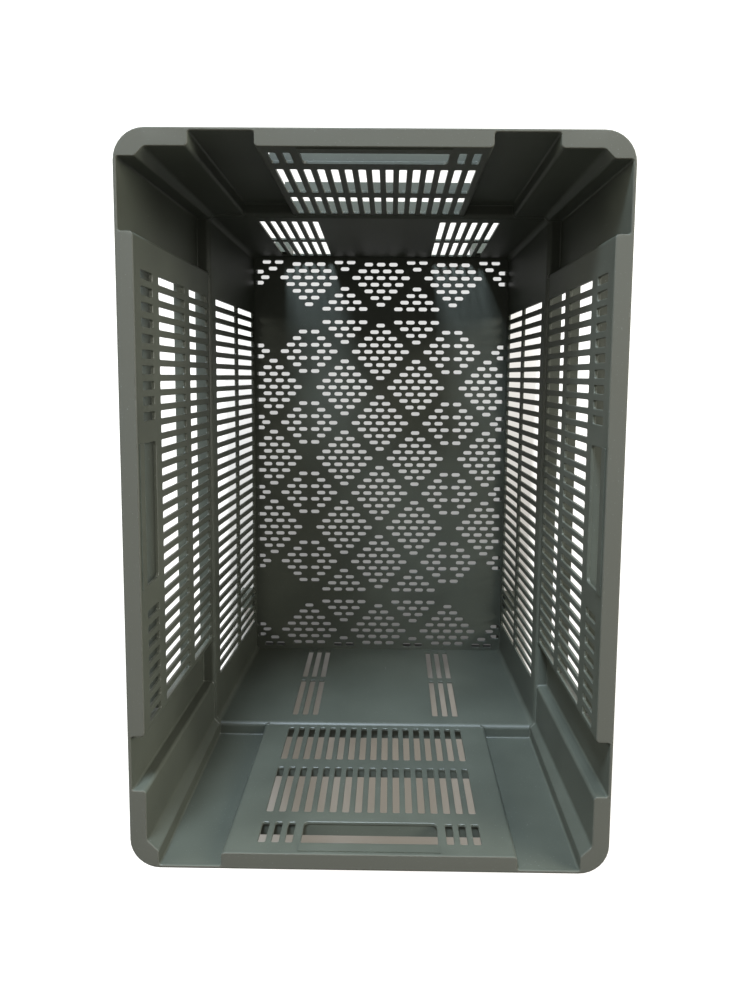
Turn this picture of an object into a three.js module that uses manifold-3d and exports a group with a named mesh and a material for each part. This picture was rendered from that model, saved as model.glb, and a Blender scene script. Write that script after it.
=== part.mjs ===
// Rigid stack-and-nest storage crate, 600 x 400 x 420 mm, injection moulded in one piece.
// A perforated tub forms the lower half. Above it the walls step out over a ledge and carry
// eight open channels, in which the feet of a second crate slide down when the two are nested.
// Turned half a circle, the second crate's feet land on the rim instead, and the crates stack.
//
// Millimetres, +Z up. X is the short side and Y the long side. The origin is the middle of the
// underside. End A is at +Y and end B at -Y, and the two differ in where their channels are.
// Each named mesh is one region of the moulding, set GAP apart from the regions that it joins.

import * as THREE from "three";
import { mergeVertices } from "three/addons/utils/BufferGeometryUtils.js";
import Module from "manifold-3d";

const wasm = await Module();
wasm.setup();

// ---- Driving dimensions ---------------------------------------------------------------

const HALF_WIDTH = 200;
const HALF_LENGTH = 300;
const HEIGHT = 420;
const WALL = 3;
const GAP = 0.3; // between neighbouring regions
const OVERLAP = 1; // how far a cutter or a joined solid runs past the face it meets
const HALF_BEND = Math.PI / 8; // half the turn of a 45 degree corner

const FLOOR_TOP = 12;
const FLOOR_PLATE = 3;
const FLOOR_INSET = 29; // from the envelope to the inner face of the tub, at the floor
const TUB_SLOPE = 0.043; // outward lean of the tub's walls, per mm of height
const TUB_CHAMFER = 3.5;

const LEDGE_TOP = 210;
const LEDGE_PLATE = 4;

const RIM_WIDTH = 14.5; // from the envelope to the inner face of the upper walls, at the rim
const UPPER_SLOPE = 0.017;
const UPPER_CHAMFER = 10;
const RIM_PLATE = 3;
const RIM_LIP = 11; // height of the rim rail's inner leg
const SKIRT = 2.8;
const SKIRT_HEIGHT = 20;
const CORNER_RADIUS = 25;

const RIB_PITCH = 48.5; // half diagonal of the diamonds in the under-floor lattice
const RIB_THICKNESS = 3;
const LATTICE_BORDER = 2.4;
const LATTICE_REACH = { columns: 4, rows: 6 }; // diamonds on each side of the middle
const FRAME_RIBS = { x: 2 * RIB_PITCH, y: 4 * RIB_PITCH }; // on each side of the middle

const SIDE_SLOT = { width: 7, pitch: 12.7, first: 192 };
const END_SLOT = { width: 6.4, pitch: 11.6 };
const ROW = {
  bottom: [20, 97],
  lower: [106, 191],
  ledge: [215, 278],
  middle: [293, 364],
  top: [379, 405.5],
};
const GRILLE_TOP = 371;
const HANDLE = { half: 59, bottom: 378, top: 405.5 };
const BAND_TOP = HEIGHT - RIM_LIP - GAP;
const TOP_RIB = { z: [373.7, 377.4], edge: 1.5 }; // edge is measured in from the envelope
const MIDDLE_RIB = { z: [288.5, 292.5], edge: 6 };

const GRIP_DEPTH = 6; // of the rim's lower edge over a handle opening
const WEB_OFFSET = 6; // from the bend of a corner post to its inner web

const FOOT = { width: 20, height: 28, clearance: 2.5, edge: 7.4, wall: 3, bevel: [5, 6] };

const SIDE_CORNER = 250; // where the tub's side walls end and its corners begin
const END_CORNER = 150;

// Channels along each wall, as [start, end, side that the crate's corner cuts].
const SIDE_CHANNELS = { a: [222.5, 278, "end"], b: [-232, -185.5, null] };
const END_A_CHANNEL = [91.5, 142, null];
const END_B_CHANNEL = [124, 176, "end"];

const COLOUR = 0x3a3f3d;

// ---- Faces of the walls ---------------------------------------------------------------

// A wall's inner face leans: it lies at + slope * z from the middle of the crate.
function tubFace(half) {
  return { at: half - FLOOR_INSET - TUB_SLOPE * FLOOR_TOP, slope: TUB_SLOPE };
}

function upperFace(half) {
  return { at: half - RIM_WIDTH - UPPER_SLOPE * HEIGHT, slope: UPPER_SLOPE };
}

function reach(face, z) {
  return face.at + face.slope * z;
}

// How far the rounded corner of the envelope lies inside its straight side, at u along it.
function cornerDrop(u, half, radius) {
  const past = Math.max(0, Math.abs(u) - (half - radius));
  return radius - Math.sqrt(radius * radius - past * past);
}

// ---- Solids ---------------------------------------------------------------------------

function vectors(points) {
  return points.map(([x, y]) => new THREE.Vector2(x, y));
}

function extruded(outlines, depth) {
  const shapes = outlines.map((outline) => new THREE.Shape(vectors(outline)));
  return new THREE.ExtrudeGeometry(shapes, { depth, bevelEnabled: false });
}

// A prism that stands on a plan outline.
function prism(outline, bottom, top) {
  return extruded([outline], top - bottom).translate(0, 0, bottom);
}

// A bar of constant section that runs along the wall. Its section is (across, up) points.
function bar(section, start, end) {
  const turn = new THREE.Matrix4();
  turn.set(0, 0, 1, start, 1, 0, 0, 0, 0, 1, 0, 0, 0, 0, 0, 1);
  return extruded([section], end - start).applyMatrix4(turn);
}

// A plate that leans with a wall's face. Its outline and openings are (along, up) points.
function leaningPlate(outline, openings, face) {
  const lean = new THREE.Matrix4();
  lean.set(1, 0, 0, 0, 0, face.slope, -1, face.at + WALL, 0, 1, 0, 0, 0, 0, 0, 1);
  const plate = solidOf(extruded([outline], WALL));
  const cutters = solidOf(extruded(openings, WALL + 2 * OVERLAP).translate(0, 0, -OVERLAP));
  return geometryOf(plate.subtract(cutters)).applyMatrix4(lean);
}

// A solid between two plan rings with the same number of points.
function loft(ringAt, bottom, top) {
  const low = vectors(ringAt(bottom));
  const high = vectors(ringAt(top));
  if (THREE.ShapeUtils.isClockWise(low)) {
    low.reverse();
    high.reverse();
  }
  const count = low.length;
  const positions = [];
  low.forEach((p) => positions.push(p.x, p.y, bottom));
  high.forEach((p) => positions.push(p.x, p.y, top));
  const index = [];
  THREE.ShapeUtils.triangulateShape(low, []).forEach(([a, b, c]) => {
    index.push(a, c, b);
  });
  THREE.ShapeUtils.triangulateShape(high, []).forEach(([a, b, c]) => {
    index.push(count + a, count + b, count + c);
  });
  for (let i = 0; i < count; i += 1) {
    const next = (i + 1) % count;
    index.push(i, next, count + next);
    index.push(i, count + next, count + i);
  }
  const geometry = new THREE.BufferGeometry();
  geometry.setAttribute("position", new THREE.Float32BufferAttribute(positions, 3));
  geometry.setIndex(index);
  geometry.computeVertexNormals();
  return geometry;
}

function solidOf(geometry) {
  const bare = geometry.clone();
  bare.deleteAttribute("normal");
  bare.deleteAttribute("uv");
  const merged = mergeVertices(bare);
  const vertProperties = new Float32Array(merged.attributes.position.array);
  const triVerts = new Uint32Array(merged.index.array);
  return new wasm.Manifold(new wasm.Mesh({ numProp: 3, vertProperties, triVerts }));
}

function geometryOf(solid) {
  const { vertProperties, triVerts } = solid.getMesh();
  const geometry = new THREE.BufferGeometry();
  geometry.setAttribute("position", new THREE.BufferAttribute(vertProperties, 3));
  geometry.setIndex(new THREE.BufferAttribute(triVerts, 1));
  geometry.computeVertexNormals();
  return geometry;
}

function joined(geometries) {
  const [first, ...rest] = geometries.map(solidOf);
  return geometryOf(rest.reduce((whole, piece) => whole.add(piece), first));
}

// ---- Naming and placing ---------------------------------------------------------------

const crate = new THREE.Group();

function place(group, name, geometry) {
  const material = new THREE.MeshStandardMaterial({
    color: COLOUR,
    roughness: 0.55,
    metalness: 0,
  });
  const mesh = new THREE.Mesh(geometry, material);
  mesh.name = name;
  group.add(mesh);
}

// A group that mirrors what is built at +X +Y into another quarter of the crate.
function quarter(signX, signY) {
  const group = new THREE.Group();
  group.scale.set(signX, signY, 1);
  crate.add(group);
  return group;
}

// ---- Slots ----------------------------------------------------------------------------

function slot(centre, width, [bottom, top]) {
  const start = centre - width / 2;
  const end = centre + width / 2;
  return [
    [start, bottom],
    [end, bottom],
    [end, top],
    [start, top],
  ];
}

function range(first, last) {
  return Array.from({ length: last - first + 1 }, (_, i) => first + i);
}

// Slots on a side wall are counted from end A, on an end wall outwards from the middle.
function sideSlots(first, last, row) {
  const { width, pitch, first: start } = SIDE_SLOT;
  return range(first, last).map((k) => slot(start - pitch * k, width, row));
}

function endSlots(first, last, row) {
  const { width, pitch } = END_SLOT;
  return range(first, last).map((k) => slot(pitch * k, width, row));
}

function outerEndSlots(first, last, row) {
  return [...endSlots(-last, -first, row), ...endSlots(first, last, row)];
}

// ---- Base -----------------------------------------------------------------------------

function chamferedRectangle(halfX, halfY, chamfer) {
  return [
    [halfX - chamfer, -halfY],
    [halfX, chamfer - halfY],
    [halfX, halfY - chamfer],
    [halfX - chamfer, halfY],
    [chamfer - halfX, halfY],
    [-halfX, halfY - chamfer],
    [-halfX, chamfer - halfY],
    [chamfer - halfX, -halfY],
  ];
}

// The plan of the tub's inside at one height, drawn in by an inset.
function tubPlan(z, inset) {
  const halfX = reach(tubFace(HALF_WIDTH), z) - inset;
  const halfY = reach(tubFace(HALF_LENGTH), z) - inset;
  return chamferedRectangle(halfX, halfY, TUB_CHAMFER);
}

function diamond(x, y, reachOut) {
  return [
    [x + reachOut, y],
    [x, y + reachOut],
    [x - reachOut, y],
    [x, y - reachOut],
  ];
}

function rectangle(x, y, halfX, halfY) {
  return [
    [x + halfX, y - halfY],
    [x + halfX, y + halfY],
    [x - halfX, y + halfY],
    [x - halfX, y - halfY],
  ];
}

// The straight ribs: two along the crate and, at their ends, two from wall to wall.
function frameRibOutlines() {
  const half = RIB_THICKNESS / 2;
  const { x, y } = FRAME_RIBS;
  const along = [-x, x].map((middle) => rectangle(middle, 0, half, y));
  const across = [-y, y].map((middle) => rectangle(0, middle, HALF_WIDTH, half));
  return [...along, ...across];
}

// Ribs at 45 degrees below the floor, with a straight frame across them and a border beam.
function floorLattice() {
  const top = FLOOR_TOP - FLOOR_PLATE - GAP;
  let window = solidOf(prism(tubPlan(0, GAP + LATTICE_BORDER), -OVERLAP, top + OVERLAP));
  frameRibOutlines().forEach((outline) => {
    window = window.subtract(solidOf(prism(outline, -2 * OVERLAP, top + 2 * OVERLAP)));
  });
  const open = RIB_PITCH - RIB_THICKNESS / Math.SQRT2;
  let lattice = solidOf(prism(tubPlan(0, GAP), 0, top));
  const { columns, rows } = LATTICE_REACH;
  range(-columns, columns).forEach((column) => {
    range(-rows, rows)
      .filter((row) => (row + column) % 2 !== 0)
      .forEach((row) => {
        const outline = diamond(column * RIB_PITCH, row * RIB_PITCH, open);
        const cutter = solidOf(prism(outline, -OVERLAP, top + OVERLAP));
        lattice = lattice.subtract(cutter.intersect(window));
      });
  });
  return geometryOf(lattice);
}

function addBase() {
  const underside = FLOOR_TOP - FLOOR_PLATE;
  place(crate, "floor_plate", prism(tubPlan(underside, GAP), underside, FLOOR_TOP));
  place(crate, "floor_rib_lattice", floorLattice());
}

// A hollow foot, open below, that slides in a channel of the crate beneath.
function stackingFoot(channel, half) {
  const face = tubFace(half);
  const end = channel[1] - FOOT.clearance;
  const start = end - FOOT.width;
  const [bevelWidth, bevelHeight] = FOOT.bevel;
  const section = (inset, bottom, top) => {
    const outer = half - FOOT.edge - inset;
    return [
      [reach(face, bottom) + WALL + GAP + inset, bottom],
      [outer, bottom],
      [outer, top - bevelHeight],
      [outer - bevelWidth, top],
      [reach(face, top) + WALL + GAP + inset, top],
    ];
  };
  const { wall } = FOOT;
  const body = solidOf(bar(section(0, 0, FOOT.height), start, end));
  const hollow = bar(section(wall, -OVERLAP, FOOT.height - wall), start + wall, end - wall);
  return geometryOf(body.subtract(solidOf(hollow)));
}

// ---- Tub ------------------------------------------------------------------------------

function tubWall(halfSpan, slots, half) {
  const top = LEDGE_TOP - LEDGE_PLATE - GAP;
  const outline = slot(0, 2 * (halfSpan - GAP), [0, top]);
  return leaningPlate(outline, slots, tubFace(half));
}

// One corner of the tub: two short returns joined by a chamfer.
function tubCornerRing(z) {
  const x = reach(tubFace(HALF_WIDTH), z);
  const y = reach(tubFace(HALF_LENGTH), z);
  const bend = WALL * Math.tan(HALF_BEND);
  return [
    [x, SIDE_CORNER],
    [x, y - TUB_CHAMFER],
    [x - TUB_CHAMFER, y],
    [END_CORNER, y],
    [END_CORNER, y + WALL],
    [x - TUB_CHAMFER + bend, y + WALL],
    [x + WALL, y - TUB_CHAMFER + bend],
    [x + WALL, SIDE_CORNER],
  ];
}

// The ledge around the top of the tub. Each wall has its own length, mitred at the corners.
function waistFlange(halfU, halfY, trim) {
  const z = LEDGE_TOP - LEDGE_PLATE;
  const inner = reach(tubFace(halfY), z);
  const innerU = reach(tubFace(halfU), z);
  const drawIn = UPPER_SLOPE * (HEIGHT - LEDGE_TOP);
  const radius = CORNER_RADIUS - drawIn;
  const diagonal = radius * Math.SQRT1_2;
  const side = (sign) => [
    [sign * (halfU - CORNER_RADIUS), halfY - drawIn],
    [sign * (halfU - CORNER_RADIUS + radius * Math.sin(HALF_BEND)),
      halfY - CORNER_RADIUS + radius * Math.cos(HALF_BEND)],
    [sign * (halfU - CORNER_RADIUS + diagonal - trim), halfY - CORNER_RADIUS + diagonal],
    [sign * (innerU - TUB_CHAMFER / 2 - trim), inner - TUB_CHAMFER / 2],
    [sign * (innerU - TUB_CHAMFER), inner],
  ];
  return prism([...side(1), ...side(-1).reverse()], z, LEDGE_TOP);
}

// ---- Upper walls ----------------------------------------------------------------------

// A channel in plan: two side walls and a back wall that is flush with the envelope.
function channel([start, end, cut], halfU, halfY) {
  const inner = halfY - RIM_WIDTH;
  const back = halfY - SKIRT;
  const mitre = HALF_WIDTH + HALF_LENGTH - 2 * RIM_WIDTH - UPPER_CHAMFER;
  const nearCorner = cut === "end";
  const far = end + WALL;
  const farInner = nearCorner ? mitre - far : inner;
  const endInner = nearCorner ? mitre - end : inner;
  const outline = [
    [start - WALL, inner],
    [start, inner],
    [start, back],
    [end, back],
    [end, endInner],
    [far, farInner],
    [far, halfY - cornerDrop(far, halfU, CORNER_RADIUS)],
  ];
  if (nearCorner) outline.push([halfU - CORNER_RADIUS, halfY]);
  outline.push([start - WALL, halfY]);
  const lean = new THREE.Matrix4();
  lean.set(1, 0, 0, 0, 0, 1, UPPER_SLOPE, -UPPER_SLOPE * HEIGHT, 0, 0, 1, 0, 0, 0, 0, 1);
  return prism(outline, LEDGE_TOP + GAP, HEIGHT).applyMatrix4(lean);
}

// The slotted wall between two channels, raised under the handle opening to meet it.
function grille(start, end, centre, slots, half) {
  const bottom = LEDGE_TOP + GAP;
  const tabStart = centre - HANDLE.half + GAP;
  const tabEnd = centre + HANDLE.half - GAP;
  const outline = [
    [start, bottom],
    [end, bottom],
    [end, GRILLE_TOP],
    [tabEnd, GRILLE_TOP],
    [tabEnd, HANDLE.bottom],
    [tabStart, HANDLE.bottom],
    [tabStart, GRILLE_TOP],
    [start, GRILLE_TOP],
  ];
  return leaningPlate(outline, slots, upperFace(half));
}

// The slotted wall beside a handle opening.
function slotBand(start, end, slots, half) {
  const outline = slot((start + end) / 2, end - start, [GRILLE_TOP + GAP, BAND_TOP]);
  return leaningPlate(outline, slots, upperFace(half));
}

// An outside rib of the wall, from the back of the wall to near the envelope.
function wallRib(rib, start, end, half) {
  const [bottom, top] = rib.z;
  const inner = reach(upperFace(half), top) + WALL + GAP;
  const outer = half - rib.edge;
  return bar([[inner, bottom], [outer, bottom], [outer, top], [inner, top]], start, end);
}

// The rim between two channels: a downward U, with a thicker grip over the handle opening.
function rimRail(start, end, centre, half) {
  const face = upperFace(half);
  const inner = reach(face, HEIGHT);
  const lip = HEIGHT - RIM_LIP;
  const section = [
    [reach(face, lip), lip],
    [reach(face, lip) + WALL, lip],
    [inner + WALL, HEIGHT - RIM_PLATE],
    [half - SKIRT, HEIGHT - RIM_PLATE],
    [half - SKIRT, HEIGHT - SKIRT_HEIGHT],
    [half, HEIGHT - SKIRT_HEIGHT],
    [half, HEIGHT],
    [inner, HEIGHT],
  ];
  const grip = [
    [reach(face, HANDLE.top), HANDLE.top],
    [reach(face, HANDLE.top) + GRIP_DEPTH, HANDLE.top],
    [reach(face, lip) + GRIP_DEPTH, HEIGHT - RIM_PLATE],
    [reach(face, lip) + OVERLAP, HEIGHT - RIM_PLATE],
    [reach(face, lip), lip],
  ];
  const gripStart = centre - HANDLE.half + GAP;
  const gripEnd = centre + HANDLE.half - GAP;
  return joined([bar(section, start, end), bar(grip, gripStart, gripEnd)]);
}

// ---- Corner posts ---------------------------------------------------------------------

// A post is drawn with a along the wall whose channel is away from the corner, and b across it.
function postPlan(type) {
  const endA = type === "a";
  return {
    swap: !endA,
    halfA: endA ? HALF_WIDTH : HALF_LENGTH,
    halfB: endA ? HALF_LENGTH : HALF_WIDTH,
    start: (endA ? END_A_CHANNEL[1] : -SIDE_CHANNELS.b[0]) + WALL + GAP,
    stop: (endA ? SIDE_CHANNELS.a[1] : END_B_CHANNEL[1]) + WALL + GAP,
  };
}

function cornerArc(plan, radius, stop) {
  const centreA = plan.halfA - CORNER_RADIUS;
  const centreB = plan.halfB - CORNER_RADIUS;
  const first = Math.asin((stop - centreB) / radius);
  const steps = 6;
  return range(0, steps).map((i) => {
    const angle = first + ((Math.PI / 2 - first) * i) / steps;
    return [centreA + radius * Math.cos(angle), centreB + radius * Math.sin(angle)];
  });
}

function cornerPost(type) {
  const plan = postPlan(type);
  const turned = (points) => (plan.swap ? points.map(([a, b]) => [b, a]) : points);
  const bend = plan.halfA - RIM_WIDTH - UPPER_CHAMFER;
  const skin = (z) => {
    const inner = reach(upperFace(plan.halfB), z);
    const foot = bend + inner - plan.stop;
    return turned([
      [plan.start, inner],
      [bend, inner],
      [foot, plan.stop],
      [foot + WALL * Math.SQRT2, plan.stop],
      [bend + WALL * Math.tan(HALF_BEND), inner + WALL],
      [plan.start, inner + WALL],
    ]);
  };
  const rim = plan.halfB - RIM_WIDTH;
  const outer = cornerArc(plan, CORNER_RADIUS, plan.stop);
  const plate = turned([
    [plan.start, rim],
    [bend, rim],
    [bend + rim - plan.stop, plan.stop],
    ...outer,
    [plan.start, plan.halfB],
  ]);
  const within = cornerArc(plan, CORNER_RADIUS - SKIRT, plan.stop).reverse();
  const skirt = turned([
    ...outer,
    [plan.start, plan.halfB],
    [plan.start, plan.halfB - SKIRT],
    ...within,
  ]);
  const web = (z) => {
    const drawIn = UPPER_SLOPE * (HEIGHT - z);
    const from = plan.halfB - RIM_WIDTH + WALL / 2 - drawIn;
    const to = plan.halfB - SKIRT / 2 - drawIn;
    const side = bend - WEB_OFFSET;
    return turned([[side, from], [side + WALL, from], [side + WALL, to], [side, to]]);
  };
  const plateBottom = HEIGHT - RIM_PLATE;
  return joined([
    loft(skin, LEDGE_TOP + GAP, HEIGHT - RIM_PLATE / 2),
    loft(() => plate, plateBottom, HEIGHT),
    loft(() => skirt, HEIGHT - SKIRT_HEIGHT, HEIGHT - RIM_PLATE / 2),
    loft(web, LEDGE_TOP + GAP, HEIGHT - RIM_PLATE / 2),
  ]);
}

// ---- Walls ----------------------------------------------------------------------------

// What differs from wall to wall. Every wall is built facing +Y, with u along it.
const SIDE_WALL = {
  half: HALF_WIDTH,
  halfU: HALF_LENGTH,
  corner: SIDE_CORNER,
  mitreTrim: 0,
  channels: [SIDE_CHANNELS.b, SIDE_CHANNELS.a],
  handle: -3,
  upperSlots: (row) => sideSlots(0, 29, row),
  lowerSlots: (row) => sideSlots(0, 33, row),
  bandSlots: [sideSlots(22, 29, ROW.top), sideSlots(0, 9, ROW.top)],
};
const END_WALL = {
  half: HALF_LENGTH,
  halfU: HALF_WIDTH,
  corner: END_CORNER,
  mitreTrim: GAP * Math.SQRT2,
  handle: 0,
};
const WALLS = [
  { ...SIDE_WALL, name: "left", turn: Math.PI / 2, mirror: 1 },
  { ...SIDE_WALL, name: "right", turn: Math.PI / 2, mirror: -1 },
  {
    ...END_WALL,
    name: "end_a",
    turn: 0,
    mirror: 1,
    channels: [END_A_CHANNEL],
    upperSlots: (row) => endSlots(-7, 7, row),
    lowerSlots: (row) => outerEndSlots(6, 11, row),
    bandSlots: [endSlots(-7, -6, ROW.top), endSlots(6, 7, ROW.top)],
  },
  {
    ...END_WALL,
    name: "end_b",
    turn: Math.PI,
    mirror: 1,
    channels: [END_B_CHANNEL],
    upperSlots: (row) => endSlots(-8, 8, row),
    lowerSlots: (row) => outerEndSlots(6, 8, row),
    bandSlots: [endSlots(-8, -6, ROW.top), endSlots(6, 8, ROW.top)],
  },
];

function placeChannel(group, name, span, wall) {
  place(group, `channel_${name}`, channel(span, wall.halfU, wall.half));
  place(group, `stacking_foot_${name}`, stackingFoot(span, wall.half));
}

function addChannels(group, wall) {
  if (wall.channels.length === 2) {
    const [b, a] = wall.channels;
    placeChannel(group, `${wall.name}_b`, b, wall);
    placeChannel(group, `${wall.name}_a`, a, wall);
    return;
  }
  [1, -1].forEach((sign) => {
    const twin = new THREE.Group();
    twin.scale.x = sign;
    group.add(twin);
    const onLeft = sign * Math.cos(wall.turn) < 0;
    placeChannel(twin, `${wall.name}_${onLeft ? "left" : "right"}`, wall.channels[0], wall);
  });
}

function addWall(wall) {
  const side = quarter(wall.mirror, 1);
  const group = new THREE.Group();
  group.rotation.z = wall.turn;
  side.add(group);
  const { name, half, halfU, handle } = wall;
  const last = wall.channels[wall.channels.length - 1];
  const end = last[0] - WALL - GAP;
  const start = wall.channels.length === 2 ? wall.channels[0][1] + WALL + GAP : -end;
  const openingStart = handle - HANDLE.half - GAP;
  const openingEnd = handle + HANDLE.half + GAP;
  const lower = [...wall.lowerSlots(ROW.bottom), ...wall.lowerSlots(ROW.lower)];
  const upper = [...wall.upperSlots(ROW.ledge), ...wall.upperSlots(ROW.middle)];

  place(group, `lower_wall_${name}`, tubWall(wall.corner, lower, half));
  place(group, `waist_flange_${name}`, waistFlange(halfU, half, wall.mitreTrim));
  place(group, `grille_${name}`, grille(start, end, handle, upper, half));
  place(group, `slot_band_${name}_1`, slotBand(start, openingStart, wall.bandSlots[0], half));
  place(group, `slot_band_${name}_2`, slotBand(openingEnd, end, wall.bandSlots[1], half));
  place(group, `middle_rib_${name}`, wallRib(MIDDLE_RIB, start, end, half));
  place(group, `handle_rib_${name}`, wallRib(TOP_RIB, start, end, half));
  place(group, `rim_rail_${name}`, rimRail(start, end, handle, half));
  addChannels(group, wall);
}

function addCorners() {
  const types = [["a", 1], ["b", -1]];
  types.forEach(([type, signY]) => {
    [["left", -1], ["right", 1]].forEach(([side, signX]) => {
      const corner = quarter(signX, signY);
      const top = LEDGE_TOP - LEDGE_PLATE - GAP;
      place(corner, `lower_corner_${type}_${side}`, loft(tubCornerRing, 0, top));
      place(corner, `corner_post_${type}_${side}`, cornerPost(type));
    });
  });
}

addBase();
addCorners();
WALLS.forEach(addWall);

export default crate;
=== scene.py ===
"""Rigid stack-and-nest storage crate, moulded in one piece in dark grey recycled plastic.

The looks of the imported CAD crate, in metres and in its frame: +Z up, X along the short side, Y along
the long side, end A at +Y and end B at -Y. Each region of the moulding is rebuilt with its fillets,
rounded rim and chamfered slots. Regions meet flush, so that the crate reads as one moulding.
"""

from math import atan2, copysign, cos, pi, radians, sin, sqrt, tan

import bmesh
import bpy
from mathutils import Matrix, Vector
from mathutils.geometry import delaunay_2d_cdt


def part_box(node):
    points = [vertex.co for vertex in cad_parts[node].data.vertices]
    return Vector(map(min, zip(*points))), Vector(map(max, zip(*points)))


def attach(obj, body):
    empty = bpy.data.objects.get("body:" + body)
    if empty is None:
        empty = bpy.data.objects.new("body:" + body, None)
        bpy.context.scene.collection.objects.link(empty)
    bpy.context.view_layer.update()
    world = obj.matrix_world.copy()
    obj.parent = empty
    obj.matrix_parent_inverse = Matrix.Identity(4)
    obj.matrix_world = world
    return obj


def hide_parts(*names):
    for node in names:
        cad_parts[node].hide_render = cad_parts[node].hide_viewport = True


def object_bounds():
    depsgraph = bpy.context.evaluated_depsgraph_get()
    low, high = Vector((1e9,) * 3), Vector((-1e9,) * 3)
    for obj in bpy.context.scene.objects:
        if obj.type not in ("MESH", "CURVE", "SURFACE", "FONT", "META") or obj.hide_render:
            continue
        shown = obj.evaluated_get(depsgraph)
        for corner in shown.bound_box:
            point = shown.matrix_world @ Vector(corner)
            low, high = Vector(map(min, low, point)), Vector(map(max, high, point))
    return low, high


MM = 0.001

# ---- The CAD frame --------------------------------------------------------------------

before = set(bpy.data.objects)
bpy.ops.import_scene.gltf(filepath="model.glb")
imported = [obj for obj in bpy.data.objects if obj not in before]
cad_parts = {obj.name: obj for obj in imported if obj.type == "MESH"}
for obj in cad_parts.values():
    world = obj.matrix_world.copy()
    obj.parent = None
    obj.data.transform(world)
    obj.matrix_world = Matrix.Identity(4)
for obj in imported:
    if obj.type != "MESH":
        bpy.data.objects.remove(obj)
CAD_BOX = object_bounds()
HALF_X, HALF_Y, HEIGHT = CAD_BOX[1]
FLOOR_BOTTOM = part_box("floor_plate")[0].z
FLOOR_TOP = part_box("floor_plate")[1].z
LEDGE_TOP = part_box("waist_flange_left")[1].z
LEDGE_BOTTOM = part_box("waist_flange_left")[0].z
SKIRT_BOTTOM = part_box("rim_rail_left")[0].z
CAD_WALL = 3 * MM
CAD_GAP = 0.3 * MM

# ---- Dimensions -----------------------------------------------------------------------

WALL = 2.8 * MM
SINK = 2 * MM  # how far a region runs into the one above or below it
FLOOR_INSET = 29 * MM  # from the envelope to the tub's inner face, at the floor
TUB_SLOPE = 0.043
TUB_CHAMFER = 3.5 * MM
TUB_BEND_RADIUS = 5.9 * MM
SIDE_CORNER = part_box("lower_corner_a_right")[0].y
END_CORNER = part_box("lower_corner_a_right")[0].x

RIM_WIDTH = 14.5 * MM
UPPER_SLOPE = 0.017
UPPER_CHAMFER = 10 * MM
RIM_PLATE = 3 * MM
RIM_RADIUS = 25 * MM
RIM_INNER_EDGE = 1.0 * MM
RIM_OUTER_EDGE = 1.5 * MM

NOTCH_RADIUS = 3.2 * MM  # on the vertical edges that stand towards the inside
PANEL_END = 4.5 * MM  # from a channel to where the slotted panel beside it ends
CHANNEL_RADIUS = 2 * MM
BEND_RADIUS = 5 * MM
COVE = 1.6 * MM  # fillet at the foot of the upper walls
LEDGE_NOSE = 5.2 * MM
LEDGE_EDGE = 0.6 * MM
TUB_TOP = LEDGE_TOP - LEDGE_NOSE - 1.5 * MM

SLOT_EDGE = 0.45 * MM
SLOT_RADIUS = 1.6 * MM
SIDE_SLOT = {"width": 7 * MM, "pitch": 12.7 * MM, "first": 192 * MM}
END_SLOT = {"width": 6.4 * MM, "pitch": 11.6 * MM}
ROW = {
    "bottom": (20 * MM, 97 * MM),
    "lower": (106 * MM, 191 * MM),
    "ledge": (215 * MM, 278 * MM),
    "middle": (293 * MM, 364 * MM),
    "top": (379 * MM, 405.5 * MM),
}
HANDLE = {"half": 59 * MM, "bottom": 378 * MM, "top": 408 * MM, "radius": 4 * MM}
SIDE_HANDLE_CENTRE = -3 * MM
LIP = {"bottom": 404.5 * MM, "depth": 7 * MM, "proud": 0.7 * MM, "past": 1 * MM}

HOLE = {"length": 11.5 * MM, "width": 5 * MM, "edge": 0.4 * MM}
HOLE_STEP = (8.24 * MM, 8.85 * MM)
DIAMOND_PITCH = 48.5 * MM
DIAMOND_REACH = 4  # holes from a diamond's middle to its tips
LAST_COLUMN = 4  # diamonds of the floor, counted from its middle
LAST_ROW = 6
SIDE_TIP = {"shift": 5.0 * MM, "step": (7.6 * MM, 7.3 * MM)}  # the outermost columns, drawn in
END_ROW_SHIFT = 1.6 * MM  # the last full rows of diamonds lie this much nearer the end walls

# The sheet's glow is painted light. How it changes along Y, in metres, paints the crate's shadow: dim
# towards end B and bright towards end A. Then how far that shadow reaches along X and Y, and the soft
# border of that reach, as fractions of it. Beyond the reach the glow paints the sheet plain white.
PAINTED_GLOW = {
    "along": {"From Min": -0.32, "From Max": 0.2, "To Min": 0.035, "To Max": 0.75},
    "reach": (0.21, 0.595, 1),
    "border": {"From Min": 0.97, "From Max": 1.04},
}

# The studio is bright near the horizon and dim overhead.
LOW_GLOW = {"From Min": 0.05, "From Max": 0.4, "To Min": 0.7, "To Max": 0.33}

ARC_STEPS = 4
SLOT_STEPS = 3
EASED = 0.5 * MM  # small chamfer on the skirt, the ribs and the kept CAD nodes
MERGED = 0.01 * MM  # vertices closer than this become one
STRAIGHT = 1e-6  # a turn smaller than this, in radians, is none
SHARP_ANGLE = radians(35)
TOUCHING = 0.001 * MM  # points of a flat region closer than this are the same
TRIANGLES = 1  # the output type of delaunay_2d_cdt that gives triangles inside the outlines

# The quarters of a plan, counter-clockwise: signs of x and y, and the order of a quarter's points.
QUARTERS = ((1, 1, 1), (-1, 1, -1), (-1, -1, 1), (1, -1, -1))


# ---- Paths and rings ------------------------------------------------------------------


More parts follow.
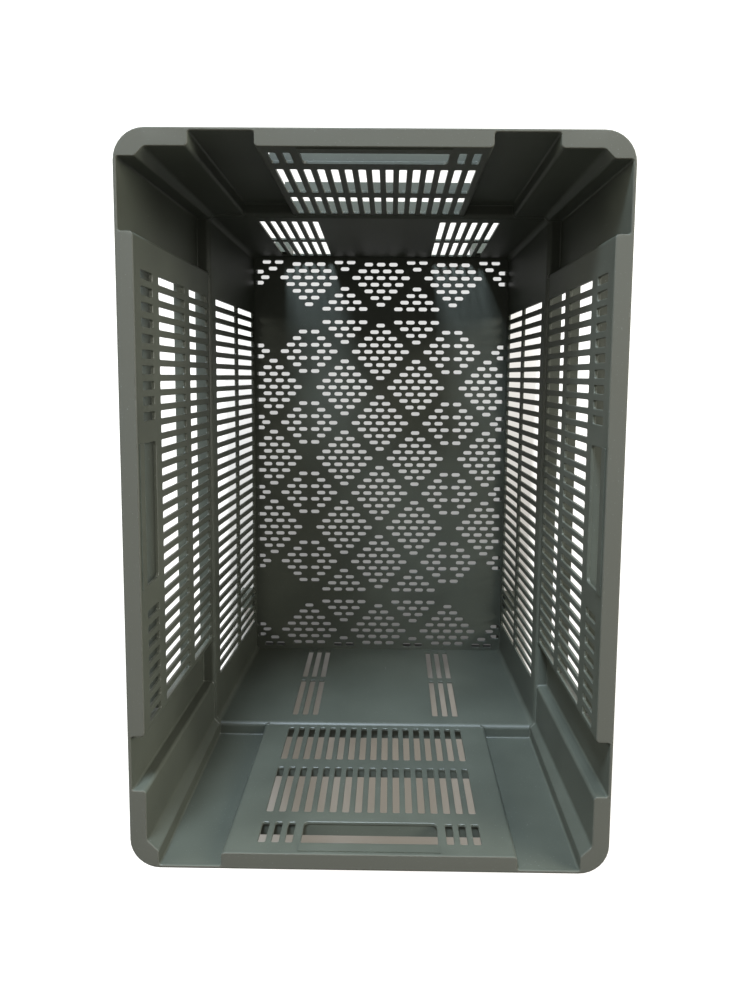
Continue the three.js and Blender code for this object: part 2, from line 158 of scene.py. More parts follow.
def rounded_path(corners):
    """Points along a line of (x, y, radius) corners, each with the unit normal on its right."""
    samples = []
    ends = [Vector(corner[:2]) for corner in corners]
    for index, (x, y, radius) in enumerate(corners):
        here = Vector((x, y))
        before = (here - ends[index - 1]).normalized() if index else None
        after = (ends[index + 1] - here).normalized() if index + 1 < len(ends) else None
        first = before or after
        last = after or before
        turn = atan2(first.cross(last), first.dot(last))
        normal = Vector((first.y, -first.x))
        if abs(turn) < STRAIGHT:
            samples.append((here, normal))
            continue
        side = 1 if turn > 0 else -1
        start = here - first * radius * tan(abs(turn) / 2)
        centre = start - normal * radius * side
        for step in range(ARC_STEPS + 1):
            angle = turn * step / ARC_STEPS
            turned = Vector(
                (
                    normal.x * cos(angle) - normal.y * sin(angle),
                    normal.x * sin(angle) + normal.y * cos(angle),
                )
            )
            samples.append((centre + turned * radius * side, turned))
    return samples


def shifted(samples, distance):
    """The points of a path, moved along its normals."""
    return [point + normal * distance for point, normal in samples]


def rounded_box(half_x, half_y, radius, steps=ARC_STEPS, centre=(0, 0)):
    """A counter-clockwise rectangle with rounded corners, as a list of points."""
    points = []
    for quarter in range(4):
        sign_x = 1 if quarter in (0, 3) else -1
        sign_y = 1 if quarter in (0, 1) else -1
        corner = Vector(centre) + Vector((sign_x * (half_x - radius), sign_y * (half_y - radius)))
        for step in range(steps + 1):
            angle = (quarter + step / steps) * pi / 2
            points.append(corner + Vector((cos(angle), sin(angle))) * radius)
    return points


def chamfered_box(half_x, half_y, chamfer, radius):
    """A counter-clockwise rectangle with chamfered corners, rounded where it bends."""
    corner = [
        (half_x, 0, 0),
        (half_x, half_y - chamfer, radius),
        (half_x - chamfer, half_y, radius),
        (0, half_y, 0),
    ]
    quarter = [point for point, _ in rounded_path(corner)[1:-1]]
    points = []
    for sign_x, sign_y, order in QUARTERS:
        points += [Vector((sign_x * p.x, sign_y * p.y)) for p in quarter[::order]]
    return points


# ---- Faces of the walls ---------------------------------------------------------------


def tub_face(half, z):
    """How far from the middle the inner face of the tub lies at height z."""
    return half - FLOOR_INSET + TUB_SLOPE * (z - FLOOR_TOP)


def upper_face(half, z):
    """The same for the upper walls, which lean out less."""
    return half - RIM_WIDTH - UPPER_SLOPE * (HEIGHT - z)


# ---- Meshes ---------------------------------------------------------------------------


def make_piece(name, build, nodes, material):
    """A finished piece of the crate that stands for some CAD nodes."""
    mesh = bpy.data.meshes.new(name)
    body = bmesh.new()
    build(body)
    bmesh.ops.remove_doubles(body, verts=body.verts, dist=MERGED)
    bmesh.ops.dissolve_degenerate(body, edges=body.edges, dist=MERGED)
    bmesh.ops.recalc_face_normals(body, faces=body.faces)
    for face in body.faces:
        face.smooth = True
    body.to_mesh(mesh)
    body.free()
    mesh.set_sharp_from_angle(angle=SHARP_ANGLE)
    mesh.materials.append(material)
    piece = bpy.data.objects.new(name, mesh)
    bpy.context.scene.collection.objects.link(piece)
    flatten = piece.modifiers.new("flat faces stay flat", "WEIGHTED_NORMAL")
    flatten.keep_sharp = True
    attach(piece, "root")
    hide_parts(*nodes)
    return piece


def add_strip(body, low, high):
    """A closed band of faces between two rings of vertices."""
    for i in range(len(low)):
        j = (i + 1) % len(low)
        body.faces.new((low[i], low[j], high[j], high[i]))


def add_rows(body, rings):
    """Rows of vertices at rings of 3D points, with a band of faces between each row and the next."""
    rows = [[body.verts.new(point) for point in ring] for ring in rings]
    for low, high in zip(rows, rows[1:]):
        add_strip(body, low, high)
    return rows


def add_loft(body, rings, closed=False):
    """Walls between rings of 3D points, capped at both ends unless the rings close on themselves."""
    rows = add_rows(body, rings)
    if closed:
        add_strip(body, rows[-1], rows[0])
    else:
        body.faces.new(rows[0])
        body.faces.new(rows[-1])


def add_cap(body, loops, flat):
    """Fills a flat region. The first loop of vertices bounds it and the others are its openings.

    flat holds the same loops as counter-clockwise 2D points.
    """
    vertices = [vertex for loop in loops for vertex in loop]
    points = [Vector(point) for loop in flat for point in loop]
    regions = []
    first = 0
    for loop in flat:
        regions.append(range(first, first + len(loop)))
        first += len(loop)
    _, _, faces, sources, _, inside = delaunay_2d_cdt(points, [], regions, TRIANGLES, TOUCHING)
    for face, loops_round_it in zip(faces, inside):
        if loops_round_it == [0]:
            body.faces.new([vertices[sources[i][0]] for i in face])


def add_plate(body, outline, openings, thickness, edge, place):
    """A plate with openings whose rims are chamfered. place puts (along, up, depth) in the frame.

    An opening is a function that gives its outline, grown by a distance.
    """
    profile = ((edge, 0), (0, edge), (0, thickness - edge), (edge, thickness))
    sides = add_rows(body, [[place(u, z, depth) for u, z in outline] for depth in (0, thickness)])
    flat, front, back = [outline], [sides[0]], [sides[1]]
    for grown in openings:
        rows = add_rows(body, [[place(u, z, depth) for u, z in grown(grow)] for grow, depth in profile])
        flat.append(grown(edge))
        front.append(rows[0])
        back.append(rows[-1])
    add_cap(body, front, flat)
    add_cap(body, back, flat)


# ---- Slots ----------------------------------------------------------------------------


def opening(centre, half_width, row, radius):
    """A rounded opening in a wall, at a place along it and over a span of heights."""
    bottom, top = row
    middle = (centre, (bottom + top) / 2)

    def outline(grow):
        half_height = (top - bottom) / 2 + grow
        return rounded_box(half_width + grow, half_height, radius + grow, SLOT_STEPS, middle)

    return outline


def side_slots(numbers, row):
    """Slots of a long wall, counted from end A."""
    first, pitch = SIDE_SLOT["first"], SIDE_SLOT["pitch"]
    half = SIDE_SLOT["width"] / 2
    return [opening(first - pitch * k, half, ROW[row], SLOT_RADIUS) for k in numbers]


def end_slots(numbers, row):
    """Slots of an end wall, counted outwards from its middle."""
    half = END_SLOT["width"] / 2
    return [opening(END_SLOT["pitch"] * k, half, ROW[row], SLOT_RADIUS) for k in numbers]


def both_ways(first, last):
    """The whole numbers from first to last, and their negatives."""
    return [*range(-last, 1 - first), *range(first, last + 1)]


# What differs from wall to wall. u runs along the wall, and turn puts (u, outward) into X and Y.
SIDE_WALL = {
    "half": HALF_X,
    "across": 0,
    "corner": SIDE_CORNER,
    "handle": SIDE_HANDLE_CENTRE,
    "lower": side_slots(range(34), "bottom") + side_slots(range(34), "lower"),
    "upper": side_slots(range(30), "ledge") + side_slots(range(30), "middle"),
    "top": side_slots([*range(10), *range(22, 30)], "top"),
}
END_WALL = {"half": HALF_Y, "across": 1, "corner": END_CORNER, "handle": 0}
WALLS = {
    "left": {**SIDE_WALL, "turn": lambda u, out: (-out, u)},
    "right": {**SIDE_WALL, "turn": lambda u, out: (out, u)},
    "end_a": {
        **END_WALL,
        "turn": lambda u, out: (u, out),
        "lower": end_slots(both_ways(6, 11), "bottom") + end_slots(both_ways(6, 11), "lower"),
        "upper": end_slots(range(-7, 8), "ledge") + end_slots(range(-7, 8), "middle"),
        "top": end_slots(both_ways(6, 7), "top"),
    },
    "end_b": {
        **END_WALL,
        "turn": lambda u, out: (u, -out),
        "lower": end_slots(both_ways(6, 8), "bottom") + end_slots(both_ways(6, 8), "lower"),
        "upper": end_slots(range(-8, 9), "ledge") + end_slots(range(-8, 9), "middle"),
        "top": end_slots(both_ways(6, 8), "top"),
    },
}


def panel_span(name):
    """The stretch of a wall between its channels, read from the CAD rail that spans it."""
    low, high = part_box(f"rim_rail_{name}")
    axis = 1 - WALLS[name]["across"]
    draw_in = PANEL_END - CAD_WALL - CAD_GAP
    return low[axis] + draw_in, high[axis] - draw_in


# ---- Floor ----------------------------------------------------------------------------


def diamond_cells(column, row):
    """Which holes a diamond of the floor has: cells (i, j), every other one, out to its tips."""
    reach = range(-DIAMOND_REACH, DIAMOND_REACH + 1)
    cells = [
        (i, j) for i in reach for j in reach if (i + j) % 2 == 0 and abs(i) + abs(j) <= DIAMOND_REACH
    ]
    outward = 1 if row > 0 else -1
    sideways = 1 if column > 0 else -1
    if abs(row) == LAST_ROW:  # only the tip that points to the middle fits
        return [(i, j) for i, j in cells if j * outward <= -3]
    if abs(column) == LAST_COLUMN:
        return [(i, j) for i, j in cells if i * sideways <= -3]
    if abs(row) == LAST_ROW - 1:  # the tip towards the end wall is cut off
        return [(i, j) for i, j in cells if j * outward <= 2]
    if abs(row) == LAST_ROW - 2:  # a solid strip crosses the diamonds here
        return [(i, j) for i, j in cells if j != 0 and abs(column) == 1]
    if abs(column) == LAST_COLUMN - 2:  # a solid strip runs along the crate here
        return [(i, j) for i, j in cells if i != 0]
    if abs(column) == LAST_COLUMN - 1:  # the tip towards the side wall is cut off
        return [(i, j) for i, j in cells if i * sideways <= 2]
    return cells


def floor_openings():
    holes = []
    for column in range(-LAST_COLUMN, LAST_COLUMN + 1):
        for row in range(-LAST_ROW, LAST_ROW + 1):
            if (column + row) % 2 == 0:
                continue
            middle_x = column * DIAMOND_PITCH
            middle_y = row * DIAMOND_PITCH
            step_x, step_y = HOLE_STEP
            if abs(row) == LAST_ROW - 1:
                middle_y += copysign(END_ROW_SHIFT, row)
            if abs(column) == LAST_COLUMN:
                step_x, step_y = SIDE_TIP["step"]
                tip = DIAMOND_REACH * (HOLE_STEP[0] - step_x)
                middle_x -= copysign(SIDE_TIP["shift"] + tip, column)
            for i, j in diamond_cells(column, row):
                holes.append(obround(middle_x + i * step_x, middle_y + j * step_y))
    return holes


def obround(x, y):
    """A hole of the floor, long across the crate."""
    half_length, radius = HOLE["length"] / 2, HOLE["width"] / 2

    def outline(grow):
        return rounded_box(half_length + grow, radius + grow, radius + grow, ARC_STEPS, (x, y))

    return outline


def build_floor(body):
    half_x = tub_face(HALF_X, FLOOR_TOP) + SINK / 2
    half_y = tub_face(HALF_Y, FLOOR_TOP) + SINK / 2
    outline = chamfered_box(half_x, half_y, TUB_CHAMFER, TUB_BEND_RADIUS)
    thickness = FLOOR_TOP - FLOOR_BOTTOM

    def place(x, y, depth):
        return Vector((x, y, FLOOR_TOP - depth))

    add_plate(body, outline, floor_openings(), thickness, HOLE["edge"], place)


# ---- Tub ------------------------------------------------------------------------------


def on_wall(wall, face):
    """A function that puts (along, up, depth) on a wall whose inner face is given."""

    def place(u, z, depth):
        x, y = wall["turn"](u, face(wall["half"], z) + depth)
        return Vector((x, y, z))

    return place


def upright_outline(start, end, bottom, top):
    return [Vector(p) for p in ((start, bottom), (end, bottom), (end, top), (start, top))]


def build_tub_wall(body, wall):
    outline = upright_outline(-wall["corner"], wall["corner"], 0, TUB_TOP)
    add_plate(body, outline, wall["lower"], WALL, SLOT_EDGE, on_wall(wall, tub_face))


def add_shell(body, path_at, heights, sign_x, sign_y):
    """A thin wall that follows a path in plan. heights are (z, distance drawn in) pairs."""
    rings = []
    for z, draw_in in heights:
        path = path_at(z)
        plan = shifted(path, -draw_in) + shifted(path, WALL)[::-1]
        rings.append([Vector((sign_x * p.x, sign_y * p.y, z)) for p in plan])
    add_loft(body, rings)


def tub_corner_path(z):
    x = tub_face(HALF_X, z)
    y = tub_face(HALF_Y, z)
    return rounded_path(
        [
            (x, SIDE_CORNER, 0),
            (x, y - TUB_CHAMFER, TUB_BEND_RADIUS),
            (x - TUB_CHAMFER, y, TUB_BEND_RADIUS),
            (END_CORNER, y, 0),
        ]
    )


# ---- Ledge ----------------------------------------------------------------------------


def build_ledge(body):
    """The ledge round the top of the tub. A rounded nose leads from the tub's wall onto it."""
    inner = [(WALL, LEDGE_BOTTOM), (WALL, TUB_TOP), (0, TUB_TOP)]
    nose_steps = 2 * ARC_STEPS
    for step in range(nose_steps + 1):
        angle = pi / 2 * step / nose_steps
        z = LEDGE_TOP - LEDGE_NOSE * (1 - sin(angle))
        inner.append((LEDGE_NOSE * (1 - cos(angle)), z))
    rings = []
    for inset, z in inner:
        straight_z = min(z, LEDGE_TOP - LEDGE_NOSE)
        half_x = tub_face(HALF_X, straight_z) + inset
        half_y = tub_face(HALF_Y, straight_z) + inset
        chamfer = TUB_CHAMFER + inset * (2 - sqrt(2))
        radius = TUB_BEND_RADIUS + inset
        ring = chamfered_box(half_x, half_y, chamfer, radius)
        rings.append([(p.x, p.y, z) for p in ring])
    draw_in = UPPER_SLOPE * (HEIGHT - LEDGE_TOP)
    corner_steps = len(rings[0]) // 4 - 1
    outer = (
        (LEDGE_EDGE, LEDGE_TOP),
        (0, LEDGE_TOP - LEDGE_EDGE),
        (0, LEDGE_BOTTOM + LEDGE_EDGE),
        (LEDGE_EDGE, LEDGE_BOTTOM),
    )
    for inset, z in outer:
        half_x = HALF_X - draw_in - inset
        half_y = HALF_Y - draw_in - inset
        ring = rounded_box(half_x, half_y, RIM_RADIUS - draw_in - inset, corner_steps)
        rings.append([(p.x, p.y, z) for p in ring])
    add_loft(body, rings, closed=True)


# ---- Upper walls ----------------------------------------------------------------------


def channel_span(name, axis):
    """Where a channel starts and ends along its wall, measured from the middle of the crate."""
    low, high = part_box(f"channel_{name}")
    spans = sorted((abs(low[axis]), abs(high[axis])))
    return spans[0] + CAD_WALL, spans[1] - CAD_WALL


def upper_path(end, z):
    """The inside of one corner of the upper walls at height z, from the side wall to the end wall.

    It runs through two channels. One of them is close to the corner: the side wall's at end A, and
    the end wall's at end B. p is measured across that near wall, and q along it.
    """
    side_channel = channel_span(f"right_{end}", 1)
    end_channel = channel_span(f"end_{end}_right", 0)
    if end == "a":
        near_half, far_half = HALF_X, HALF_Y
        near, far = side_channel, end_channel
    else:
        near_half, far_half = HALF_Y, HALF_X
        near, far = end_channel, side_channel
    near_inner = upper_face(near_half, z)
    far_inner = upper_face(far_half, z)
    near_back = near_inner + RIM_WIDTH - WALL
    far_back = far_inner + RIM_WIDTH - WALL
    mitre = HALF_X + HALF_Y - 2 * RIM_WIDTH - UPPER_CHAMFER - UPPER_SLOPE * (HEIGHT - z)
    path = rounded_path(
        [
            (near_inner, near[0] - PANEL_END, 0),
            (near_inner, near[0], NOTCH_RADIUS),
            (near_back, near[0], CHANNEL_RADIUS),
            (near_back, near[1], CHANNEL_RADIUS),
            (mitre - near[1], near[1], NOTCH_RADIUS),
            (mitre - far_inner, far_inner, BEND_RADIUS),
            (far[1], far_inner, NOTCH_RADIUS),
            (far[1], far_back, CHANNEL_RADIUS),
            (far[0], far_back, CHANNEL_RADIUS),
            (far[0], far_inner, NOTCH_RADIUS),
            (far[0] - PANEL_END, far_inner, 0),
        ]
    )
    if end == "a":
        return path
    return [(point.yx, normal.yx) for point, normal in path[::-1]]


def cove_heights():
    """Heights of the rings of an upper wall, which flares into the ledge at its foot."""
    heights = [(LEDGE_TOP - SINK, COVE)]
    for step in range(ARC_STEPS + 1):
        angle = pi / 2 * step / ARC_STEPS
        heights.append((LEDGE_TOP + COVE * (1 - cos(angle)), COVE * (1 - sin(angle))))
    return heights + [(HEIGHT - RIM_PLATE, 0)]


def build_panel(body, name, wall):
    start, end = panel_span(name)
    outline = upright_outline(start, end, LEDGE_TOP - SINK, HEIGHT - RIM_PLATE)
    handle_row = (HANDLE["bottom"], HANDLE["top"])
    handle = opening(wall["handle"], HANDLE["half"], handle_row, HANDLE["radius"])
    slots = [*wall["upper"], *wall["top"], handle]
    add_plate(body, outline, slots, WALL, SLOT_EDGE, on_wall(wall, upper_face))


# ---- Rim ------------------------------------------------------------------------------


def rim_inner_path():
    """The inner edge of the rim, once round the crate, in and out of every channel."""
    path = []
    for sign_x, sign_y, order in QUARTERS:
        end = "a" if sign_y > 0 else "b"
        signs = Vector((sign_x, sign_y))
        samples = [(point * signs, normal * signs) for point, normal in upper_path(end, HEIGHT)]
        path += samples[::order]
    return path


def edge_rings(ring_at, radius):
    """Rings of a rounded upper edge: ring_at gives the outline drawn back by a distance."""
    rings = []
    for step in range(ARC_STEPS):
        angle = pi / 2 * step / (ARC_STEPS - 1)
        z = HEIGHT - radius * (1 - sin(angle))
        rings.append([(p.x, p.y, z) for p in ring_at(radius * (1 - cos(angle)))])
    return rings


def build_rim(body):
    """The rim's flat top with its rounded edges, and the skirt that hangs from its outside."""
    inner = rim_inner_path()
    underside = HEIGHT - RIM_PLATE

    def inner_ring(back):
        return shifted(inner, back)

    def outer_ring(back):
        return rounded_box(HALF_X - back, HALF_Y - back, RIM_RADIUS - back, 2 * ARC_STEPS)

    inside = [[(p.x, p.y, underside) for p in inner_ring(0)], *edge_rings(inner_ring, RIM_INNER_EDGE)]
    outside = [[(p.x, p.y, underside) for p in outer_ring(0)], *edge_rings(outer_ring, RIM_OUTER_EDGE)]
    inside_rows = add_rows(body, inside)
    outside_rows = add_rows(body, outside)
    for level in (0, -1):
        loops = [outside_rows[level], inside_rows[level]]
        add_cap(body, loops, [[vertex.co.xy for vertex in loop] for loop in loops])

    profile = (
        (0, underside),
        (0, SKIRT_BOTTOM + EASED),
        (EASED, SKIRT_BOTTOM),
        (WALL - EASED, SKIRT_BOTTOM),
        (WALL, SKIRT_BOTTOM + EASED),
        (WALL, underside),
    )
    skirt = [[(p.x, p.y, z) for p in outer_ring(back)] for back, z in profile]
    add_loft(body, skirt, closed=True)


# ---- Beams along a wall ---------------------------------------------------------------


def build_beam(body, wall, span, section):
    """A bar along a wall. Its section is (outward, up) points."""
    rings = []
    for u in span:
        ring = []
        for out, z in section:
            x, y = wall["turn"](u, out)
            ring.append((x, y, z))
        rings.append(ring)
    add_loft(body, rings)


def rib_section(wall, node):
    """A flat rib on the outside of a wall, as deep as its CAD node, with its edges eased."""
    low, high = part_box(node)
    bottom, top = low.z, high.z
    outer = max(abs(low[wall["across"]]), abs(high[wall["across"]]))
    inner = upper_face(wall["half"], bottom) + WALL / 2
    return [
        (inner, bottom),
        (outer - EASED, bottom),
        (outer, bottom + EASED),
        (outer, top - EASED),
        (outer - EASED, top),
        (inner, top),
    ]


def lip_section(wall):
    """The thick, rounded upper edge of a handle opening."""
    inner = upper_face(wall["half"], LIP["bottom"]) - LIP["proud"]
    radius = LIP["depth"] / 2
    section = [(inner + LIP["depth"], HEIGHT - RIM_PLATE), (inner, HEIGHT - RIM_PLATE)]
    steps = 2 * ARC_STEPS
    for step in range(steps + 1):
        angle = pi * step / steps
        out = inner + radius * (1 - cos(angle))
        section.append((out, LIP["bottom"] + radius * (1 - sin(angle))))
    return section


# ---- Material -------------------------------------------------------------------------

# Painted light: the warmer grey of the rim's top face, where light falls on it.
PAINTED_RIM_LIGHT = (0.047, 0.045, 0.034, 1)
WORN = (0.30, 0.31, 0.30, 1)


def add_node(tree, kind, inputs=None, **settings):
    node = tree.nodes.new(kind)
    for name, value in settings.items():
        setattr(node, name, value)
    for name, value in (inputs or {}).items():
        node.inputs[name].default_value = value
    return node


def add_noise(tree, place, scale, detail, roughness=0.5):
    """The grey values of a noise texture."""
    settings = {"Scale": scale, "Detail": detail, "Roughness": roughness}
    noise = add_node(tree, "ShaderNodeTexNoise", settings)
    tree.links.new(place, noise.inputs["Vector"])
    return noise.outputs["Fac"]


def add_range(tree, value, ranges):
    """A value stretched from one range to another and clamped to it."""
    node = add_node(tree, "ShaderNodeMapRange", ranges)
    tree.links.new(value, node.inputs["Value"])
    return node.outputs["Result"]


def add_math(tree, operation, *values):
    """The result of a sum on sockets and numbers."""
    node = add_node(tree, "ShaderNodeMath", operation=operation)
    for socket, value in zip(node.inputs, values):
        if isinstance(value, bpy.types.NodeSocket):
            tree.links.new(value, socket)
        else:
            socket.default_value = value
    return node.outputs[0]


def add_mix(tree, factor, first, second):
    """A colour between the first, a socket, and the second, a constant."""
    mix = add_node(tree, "ShaderNodeMix", data_type="RGBA")
    tree.links.new(factor, mix.inputs["Factor"])
    tree.links.new(first, mix.inputs[6])
    mix.inputs[7].default_value = second
    return mix.outputs[2]


def cloudy_tint(tree, clouds):
    """The dark grey of the recycled plastic, slightly uneven."""
    tint = add_node(tree, "ShaderNodeValToRGB")
    low, high = tint.color_ramp.elements
    low.position = 0.3
    low.color = (0.033, 0.0365, 0.0285, 1)
    high.position = 0.72
    high.color = (0.051, 0.056, 0.044, 1)
    tree.links.new(clouds, tint.inputs["Fac"])
    return tint.outputs["Color"]


def wear_mask(tree, place):
    """Pale specks everywhere, and fine slanting scuffs in scattered patches."""
    specks = add_range(tree, add_noise(tree, place, 900, 2), {"From Min": 0.69, "From Max": 0.78})
    drawn_out = {"Scale": (1, 1, 0.12), "Rotation": (0.3, 0.5, 0.2)}
    streaks = add_node(tree, "ShaderNodeMapping", drawn_out)
    tree.links.new(place, streaks.inputs["Vector"])
    lines = add_noise(tree, streaks.outputs["Vector"], 240, 6, 0.7)
    scuffs = add_range(tree, lines, {"From Min": 0.66, "From Max": 0.74})
    patches = add_range(tree, add_noise(tree, place, 14, 3), {"From Min": 0.52, "From Max": 0.66})
    return add_math(tree, "MAXIMUM", add_math(tree, "MULTIPLY", scuffs, patches), specks)


def painted_rim_light_mask(tree, place, clouds):
    """Painted light on the top face of the rim: its grey is mixed unevenly towards a warmer tone, where
    light falls on it.
    """
    parts = add_node(tree, "ShaderNodeSeparateXYZ")
    tree.links.new(place, parts.inputs[0])
    top = {"From Min": HEIGHT - 0.7 * MM, "From Max": HEIGHT - 0.2 * MM}
    rim_top = add_range(tree, parts.outputs["Z"], top)
    uneven_rim_light = add_range(tree, clouds, {"To Min": 0.75, "To Max": 1.15})
    return add_math(tree, "MULTIPLY", rim_top, uneven_rim_light)


def uneven_normal(tree, place):
    """Fine moulded grain over slow ripples."""
    fine = add_node(tree, "ShaderNodeBump", {"Strength": 0.25, "Distance": 0.05 * MM})
    tree.links.new(add_noise(tree, place, 1400, 2), fine.inputs["Height"])
    broad = add_node(tree, "ShaderNodeBump", {"Strength": 0.2, "Distance": 0.4 * MM})
    tree.links.new(add_noise(tree, place, 30, 2), broad.inputs["Height"])
    tree.links.new(fine.outputs["Normal"], broad.inputs["Normal"])
    return broad.outputs["Normal"]


def crate_plastic():
    """Satin recycled polypropylene: cloudy dark grey, fine grain, pale scuffs and specks, and painted
    light on the rim's top face.
    """
    material = bpy.data.materials.new("crate_plastic")
    material.use_nodes = True
    tree = material.node_tree
    shader = tree.nodes["Principled BSDF"]
    shader.inputs["IOR"].default_value = 1.49
    shader.inputs["Specular IOR Level"].default_value = 0.4
    place = add_node(tree, "ShaderNodeTexCoord").outputs["Object"]

    clouds = add_noise(tree, place, 9, 5, 0.6)
    # Painted light: the rim's top face is mixed towards a warmer grey, and it is also rougher there.
    painted_rim_light = painted_rim_light_mask(tree, place, clouds)
    faint_wear = add_math(tree, "MULTIPLY", wear_mask(tree, place), 0.35)
    tint_and_rim_light = add_mix(tree, painted_rim_light, cloudy_tint(tree, clouds), PAINTED_RIM_LIGHT)
    colour = add_mix(tree, faint_wear, tint_and_rim_light, WORN)
    satin = add_range(tree, clouds, {"To Min": 0.44, "To Max": 0.56})
    roughness = add_math(tree, "MULTIPLY_ADD", painted_rim_light, 0.4, satin)

    tree.links.new(colour, shader.inputs["Base Color"])
    tree.links.new(roughness, shader.inputs["Roughness"])
    tree.links.new(uneven_normal(tree, place), shader.inputs["Normal"])
    return material


# ---- Assembly -------------------------------------------------------------------------


def build_crate(plastic):
    make_piece("floor", build_floor, ["floor_plate"], plastic)
    flanges = [f"waist_flange_{name}" for name in WALLS]
    make_piece("ledge", build_ledge, flanges, plastic)
    make_piece("rim", build_rim, [f"rim_rail_{name}" for name in WALLS], plastic)

    for name, wall in WALLS.items():
        span = panel_span(name)
        tub_node = f"lower_wall_{name}"
        panel_nodes = [f"grille_{name}", f"slot_band_{name}_1", f"slot_band_{name}_2"]
        make_piece(f"{tub_node}_skin", lambda b: build_tub_wall(b, wall), [tub_node], plastic)
        make_piece(f"upper_panel_{name}", lambda b: build_panel(b, name, wall), panel_nodes, plastic)
        for rib in ("middle_rib", "handle_rib"):
            node = f"{rib}_{name}"
            section = rib_section(wall, node)
            make_piece(f"{node}_skin", lambda b: build_beam(b, wall, span, section), [node], plastic)
        half = HANDLE["half"] + LIP["past"]
        grip = (wall["handle"] - half, wall["handle"] + half)
        section = lip_section(wall)
        make_piece(f"handle_lip_{name}", lambda b: build_beam(b, wall, grip, section), [], plastic)

    for end, sign_y in (("a", 1), ("b", -1)):
        for side, sign_x in (("left", -1), ("right", 1)):

            def tub_corner(body):
                heights = [(0, 0), (TUB_TOP, 0)]
                add_shell(body, tub_corner_path, heights, sign_x, sign_y)

            def upper_corner(body):
                add_shell(body, lambda z: upper_path(end, z), cove_heights(), sign_x, sign_y)

            make_piece(f"tub_corner_{end}_{side}", tub_corner, [f"lower_corner_{end}_{side}"], plastic)
            nodes = [
                f"corner_post_{end}_{side}",
                f"channel_{side}_{end}",
                f"channel_end_{end}_{side}",
            ]
            make_piece(f"upper_corner_{end}_{side}", upper_corner, nodes, plastic)


def dress_kept_nodes(plastic):
    """CAD nodes whose shape is kept: the under-floor ribs and the feet, with eased edges."""
    for name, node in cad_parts.items():
        if node.hide_render:
            continue
        node.data.materials.clear()
        node.data.materials.append(plastic)
        ease = node.modifiers.new("eased edges", "BEVEL")
        ease.width = EASED
        ease.segments = 2
        ease.limit_method = "ANGLE"


# ---- Stage, light and camera ----------------------------------------------------------

COOL = (0.72, 0.85, 1)
WARM = (1, 0.98, 0.9)
LIGHTS = {
    "key": {
        "target": (0, -0.25, 0.3),
        "azimuth": 100,
        "elevation": 27,
        "distance": 3.6,
        "size": 0.95,
        "power": 368,
        "colour": COOL,
    },
    "fill_left": {
        "target": (0, 0, 0.3),
        "azimuth": 155,
        "elevation": 26,
        "distance": 2.4,
        "size": 1.2,
        "power": 34,
        "colour": WARM,
    },
    "fill_right": {
        "target": (0, -0.05, 0.3),
        "azimuth": 24,
        "elevation": 24,
        "distance": 2.4,
        "size": 1.2,
        "power": 96,
        "colour": WARM,
    },
}
SHEET_REACH = 6  # metres from the crate's middle to each edge of the sheet


def paper_with_painted_light():
    """Pale paper with painted light: its glow stands in for the light on the sheet, and fades towards
    end B to paint the crate's shadow there.
    """
    paper = bpy.data.materials.new("paper_painted_light")
    paper.use_nodes = True
    tree = paper.node_tree
    shader = tree.nodes["Principled BSDF"]
    shader.inputs["Base Color"].default_value = (0.19, 0.172, 0.152, 1)
    shader.inputs["Roughness"].default_value = 0.9
    shader.inputs["Emission Color"].default_value = (1, 1, 0.99, 1)
    place = add_node(tree, "ShaderNodeTexCoord").outputs["Object"]
    along = add_node(tree, "ShaderNodeSeparateXYZ")
    tree.links.new(place, along.inputs[0])
    # Painted shadow: the glow dims towards end B, where the crate's shadow falls, and grows towards end
    # A.
    painted_shadow_along_y = add_range(tree, along.outputs["Y"], PAINTED_GLOW["along"])

    scaled = add_node(tree, "ShaderNodeVectorMath", {1: PAINTED_GLOW["reach"]}, operation="DIVIDE")
    tree.links.new(place, scaled.inputs[0])
    either_side = add_node(tree, "ShaderNodeVectorMath", operation="ABSOLUTE")
    tree.links.new(scaled.outputs["Vector"], either_side.inputs[0])
    parts = add_node(tree, "ShaderNodeSeparateXYZ")
    tree.links.new(either_side.outputs["Vector"], parts.inputs[0])
    distance = add_math(tree, "MAXIMUM", parts.outputs["X"], parts.outputs["Y"])
    # Painted light: beyond the reach the glow turns the sheet plain white, over the crate's shadow.
    painted_white_beyond = add_range(tree, distance, PAINTED_GLOW["border"])
    painted_glow = add_math(tree, "MAXIMUM", painted_shadow_along_y, painted_white_beyond)
    tree.links.new(painted_glow, shader.inputs["Emission Strength"])
    return paper


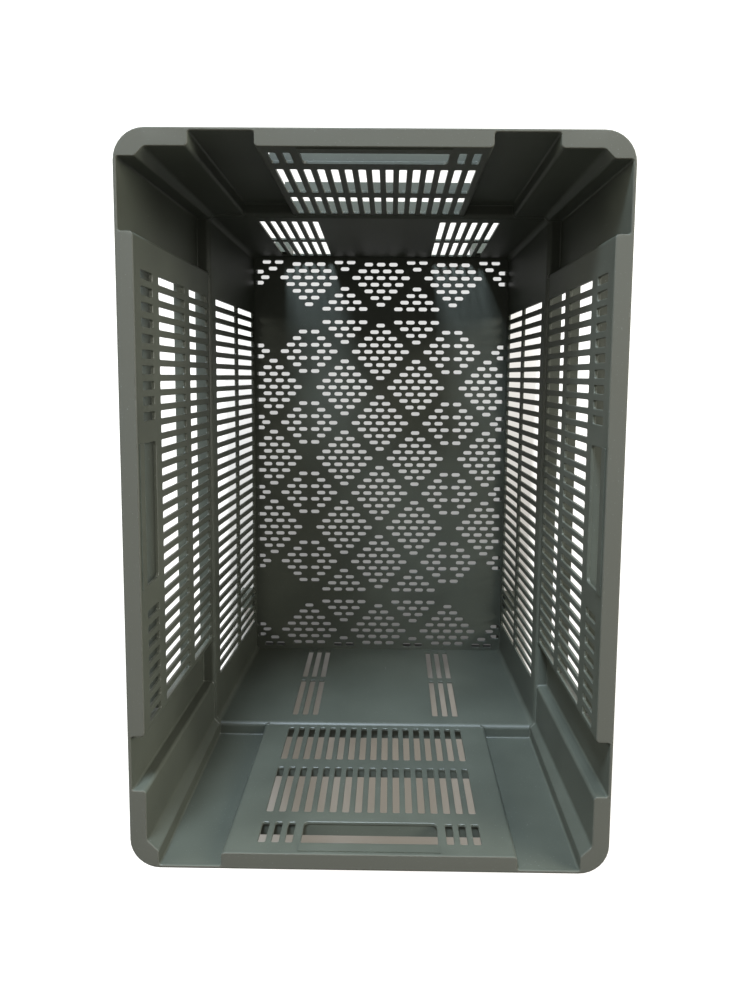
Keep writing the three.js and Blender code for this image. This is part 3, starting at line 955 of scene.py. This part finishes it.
def add_stage():
    mesh = bpy.data.meshes.new("floor_sheet")
    corners = [(SHEET_REACH * x, SHEET_REACH * y, 0) for x, y in ((-1, -1), (1, -1), (1, 1), (-1, 1))]
    mesh.from_pydata(corners, [], [(0, 1, 2, 3)])
    mesh.materials.append(paper_with_painted_light())
    sheet = bpy.data.objects.new("floor_sheet", mesh)
    bpy.context.scene.collection.objects.link(sheet)


def add_area_light(name, target, azimuth, elevation, distance, size, power, colour):
    """A round softbox that shines on a target from an azimuth (from +X) and an elevation."""
    data = bpy.data.lights.new(name, "AREA")
    data.shape = "DISK"
    data.size = size
    data.energy = power
    data.color = colour
    level = cos(radians(elevation))
    away = Vector(
        (level * cos(radians(azimuth)), level * sin(radians(azimuth)), sin(radians(elevation)))
    )
    lamp = bpy.data.objects.new(name, data)
    lamp.location = Vector(target) + away * distance
    lamp.rotation_euler = (-away).to_track_quat("-Z", "Y").to_euler()
    bpy.context.scene.collection.objects.link(lamp)


def add_lights():
    world = bpy.data.worlds.new("studio")
    world.use_nodes = True
    tree = world.node_tree
    background = tree.nodes["Background"]
    background.inputs["Color"].default_value = (1, 1, 0.9, 1)
    up = add_node(tree, "ShaderNodeSeparateXYZ")
    tree.links.new(add_node(tree, "ShaderNodeTexCoord").outputs["Generated"], up.inputs[0])
    tree.links.new(add_range(tree, up.outputs["Z"], LOW_GLOW), background.inputs["Strength"])
    bpy.context.scene.world = world
    for name, settings in LIGHTS.items():
        add_area_light(name, **settings)


def add_camera():
    data = bpy.data.cameras.new("camera")
    data.sensor_width = 36
    data.lens = 25.24
    data.shift_x = -0.0091
    data.shift_y = -0.0579
    data.clip_start = 0.01
    camera = bpy.data.objects.new("camera", data)
    camera.location = (0.0144, 0.1123, HEIGHT + 0.5504)
    camera.rotation_euler = (radians(-5.341), radians(0.545), radians(0.505))
    bpy.context.scene.collection.objects.link(camera)
    bpy.context.scene.camera = camera


plastic = crate_plastic()
build_crate(plastic)
dress_kept_nodes(plastic)
add_stage()
add_lights()
add_camera()
bpy.context.scene.view_settings.view_transform = "Standard"
